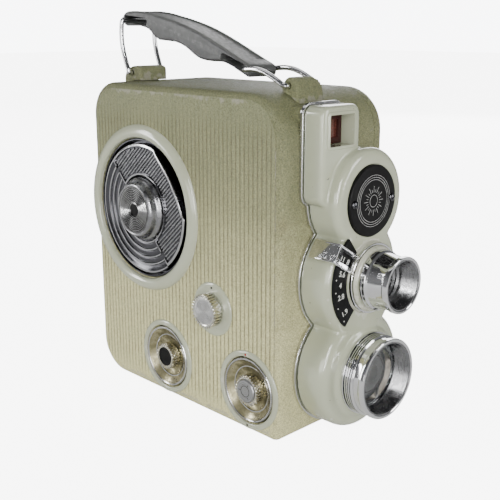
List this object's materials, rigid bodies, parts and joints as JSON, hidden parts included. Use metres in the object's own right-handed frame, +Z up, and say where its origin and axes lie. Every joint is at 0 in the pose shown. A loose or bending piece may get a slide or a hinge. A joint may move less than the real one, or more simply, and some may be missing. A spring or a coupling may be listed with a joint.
{
  "type": "cine camera",
  "caption": "Spring-wound cine camera: flat rounded case, winding key, speed and release dials, viewfinder, lens and light meter tower, wire-hung grip.",
  "frame": {"origin": "on the flat bottom face, halfway along the case and in line with the tripod bush", "axes": "the lens looks along -Y, +Z is up, and the winding side is the -X side"},
  "size_m": [0.0658, 0.1368, 0.1504],
  "materials": {
    "crinkle_paint": "greenish beige crinkle paint over a ribbed die casting",
    "cream_enamel": "glossy cream enamel, worn at the edges",
    "bright_chrome": "bright chrome plate",
    "dark_chrome": "ribbed and turned dark chrome",
    "plain_steel": "plain ground steel",
    "brass": "tarnished brass",
    "black_lacquer": "black lacquer",
    "lens_glass": "coated glass",
    "selenium": "brown selenium coating behind a grid",
    "grey_plastic": "dark grey moulded plastic"
  },
  "bodies": {
    "camera_body": {"main_body": "crinkle_paint", "front_bracket": "crinkle_paint", "rear_bracket": "crinkle_paint", "front_trim": "bright_chrome", "front_casting": "cream_enamel", "nameplate_disc": "black_lacquer", "nameplate_screw_left": "plain_steel", "nameplate_screw_right": "plain_steel", "aperture_scale": "black_lacquer", "finder_front_glass": "lens_glass", "finder_tube": "plain_steel", "finder_eyepiece": "black_lacquer", "cell_hood": "bright_chrome", "cell_lens": "lens_glass", "selenium_cell": "selenium", "lens_barrel": "bright_chrome", "lens_front_element": "lens_glass", "lens_rear_element": "lens_glass", "winding_bezel": "cream_enamel", "winding_cup": "plain_steel", "frame_speed_bezel": "cream_enamel", "film_speed_bezel": "cream_enamel", "film_speed_dial": "brass", "release_bezel": "cream_enamel", "release_dial": "brass", "tripod_bush": "brass", "mechanism_plate": "plain_steel", "film_gate": "plain_steel", "pressure_spring": "plain_steel", "meter_movement": "black_lacquer"},
    "winding_key": {"winding_disc": "dark_chrome", "winding_hub": "dark_chrome", "winding_hinge_pin": "plain_steel", "winding_arbor": "plain_steel"},
    "winding_handle": {"winding_handle": "dark_chrome"},
    "frame_speed_knob": {"frame_speed_knob": "bright_chrome"},
    "film_speed_knob": {"film_speed_knob": "bright_chrome"},
    "release_knob": {"release_knob": "bright_chrome"},
    "release_button": {"release_button": "plain_steel"},
    "iris_lever": {"iris_lever": "bright_chrome"},
    "rear_bail": {"rear_bail": "bright_chrome"},
    "handle_grip": {"handle_grip": "grey_plastic"},
    "front_bail": {"front_bail": "bright_chrome"},
    "film_door": {"film_door": "crinkle_paint"},
    "door_latch": {"door_latch_knob": "bright_chrome", "door_latch_bar": "plain_steel"},
    "spring_barrel": {"spring_barrel": "brass", "great_wheel": "brass", "mainspring": "plain_steel"},
    "shutter": {"shutter_disc": "black_lacquer"},
    "governor": {"governor": "brass"},
    "take_up": {"take_up_spindle": "plain_steel", "take_up_spool": "black_lacquer"},
    "supply": {"supply_spindle": "plain_steel", "supply_spool": "black_lacquer"},
    "film_claw": {"film_claw": "plain_steel"},
    "pressure_plate": {"pressure_plate": "plain_steel"},
    "upper_roller": {"upper_roller": "plain_steel"},
    "lower_roller": {"lower_roller": "plain_steel"},
    "meter_needle": {"meter_needle": "plain_steel"}
  },
  "joints": [
    {"name": "winding_turn", "type": "hinge", "parent": "camera_body", "child": "winding_key", "pos_m": [-0.0275, 0.0213, 0.0749], "axis": [-1, 0, 0], "continuous": true},
    {"name": "winding_handle_fold", "type": "hinge", "parent": "winding_key", "child": "winding_handle", "pos_m": [-0.0269, 0.02234, 0.07397], "axis": [0, -0.6678, -0.7443], "range_deg": [0, 90]},
    {"name": "frame_speed_turn", "type": "hinge", "parent": "camera_body", "child": "frame_speed_knob", "pos_m": [-0.0275, -0.0195, 0.043], "axis": [-1, 0, 0], "range_deg": [-150, 150]},
    {"name": "film_speed_turn", "type": "hinge", "parent": "camera_body", "child": "film_speed_knob", "pos_m": [-0.0275, 0.0083, 0.0164], "axis": [-1, 0, 0], "range_deg": [-120, 120]},
    {"name": "release_turn", "type": "hinge", "parent": "camera_body", "child": "release_knob", "pos_m": [-0.0275, -0.0384, 0.0165], "axis": [-1, 0, 0], "range_deg": [-60, 60]},
    {"name": "release_press", "type": "slide", "parent": "release_knob", "child": "release_button", "axis": [1, 0, 0], "range_m": [0, 0.0012], "stiffness_N_per_m": 600, "springref_m": -0.001},
    {"name": "iris_turn", "type": "hinge", "parent": "camera_body", "child": "iris_lever", "pos_m": [0.003, -0.06935, 0.0593], "axis": [0, -1, 0], "range_deg": [-5, 65]},
    {"name": "rear_bail_swing", "type": "hinge", "parent": "camera_body", "child": "rear_bail", "pos_m": [-0.0076, 0.0435, 0.1262], "axis": [1, 0, 0], "range_deg": [0, 22]},
    {"name": "grip_tilt", "type": "hinge", "parent": "rear_bail", "child": "handle_grip", "pos_m": [-0.0076, 0.04679, 0.14745], "axis": [1, 0, 0], "range_deg": [-23, 0]},
    {"name": "front_bail_swing", "type": "hinge", "parent": "camera_body", "child": "front_bail", "pos_m": [-0.0076, -0.0441, 0.1251], "axis": [1, 0, 0], "range_deg": [0, 5]},
    {"name": "door_lift", "type": "slide", "parent": "camera_body", "child": "film_door", "axis": [1, 0, 0], "range_m": [0, 0.06]},
    {"name": "door_latch_turn", "type": "hinge", "parent": "film_door", "child": "door_latch", "pos_m": [0.0284, 0.026, 0.0615], "axis": [1, 0, 0], "range_deg": [0, 90]},
    {"name": "spring_barrel_turn", "type": "hinge", "parent": "camera_body", "child": "spring_barrel", "pos_m": [-0.0275, 0.0213, 0.0749], "axis": [-1, 0, 0], "continuous": true},
    {"name": "shutter_turn", "type": "hinge", "parent": "camera_body", "child": "shutter", "pos_m": [-0.008, -0.0402, 0.05], "axis": [0, -1, 0], "continuous": true},
    {"name": "governor_turn", "type": "hinge", "parent": "camera_body", "child": "governor", "pos_m": [-0.0275, -0.0039, 0.0856], "axis": [-1, 0, 0], "continuous": true},
    {"name": "take_up_turn", "type": "hinge", "parent": "camera_body", "child": "take_up", "pos_m": [0.0076, 0.024, 0.036], "axis": [1, 0, 0], "continuous": true},
    {"name": "supply_turn", "type": "hinge", "parent": "camera_body", "child": "supply", "pos_m": [0.0076, 0.024, 0.088], "axis": [1, 0, 0], "continuous": true},
    {"name": "claw_stroke", "type": "slide", "parent": "camera_body", "child": "film_claw", "axis": [0, 0, 1], "range_m": [-0.0019, 0.0019]},
    {"name": "pressure_plate_lift", "type": "slide", "parent": "camera_body", "child": "pressure_plate", "axis": [0, 1, 0], "range_m": [0, 0.0015], "stiffness_N_per_m": 300, "springref_m": -0.002},
    {"name": "upper_roller_turn", "type": "hinge", "parent": "camera_body", "child": "upper_roller", "pos_m": [0, -0.026, 0.0845], "axis": [1, 0, 0], "continuous": true},
    {"name": "lower_roller_turn", "type": "hinge", "parent": "camera_body", "child": "lower_roller", "pos_m": [0, -0.026, 0.033], "axis": [1, 0, 0], "continuous": true},
    {"name": "meter_needle_turn", "type": "hinge", "parent": "camera_body", "child": "meter_needle", "pos_m": [-0.0141, -0.041, 0.092], "axis": [1, 0, 0], "range_deg": [-20, 20], "stiffness_Nm_per_rad": 0.0005}
  ],
  "couplings": [
    {"joint": "grip_tilt", "follows": "rear_bail_swing", "ratio": -0.95},
    {"joint": "front_bail_swing", "follows": "rear_bail_swing", "ratio": 0.15},
    {"joint": "shutter_turn", "follows": "spring_barrel_turn", "ratio": 12},
    {"joint": "governor_turn", "follows": "spring_barrel_turn", "ratio": -8},
    {"joint": "take_up_turn", "follows": "spring_barrel_turn", "ratio": 1.5},
    {"joint": "supply_turn", "follows": "spring_barrel_turn", "ratio": 1.5}
  ]
}
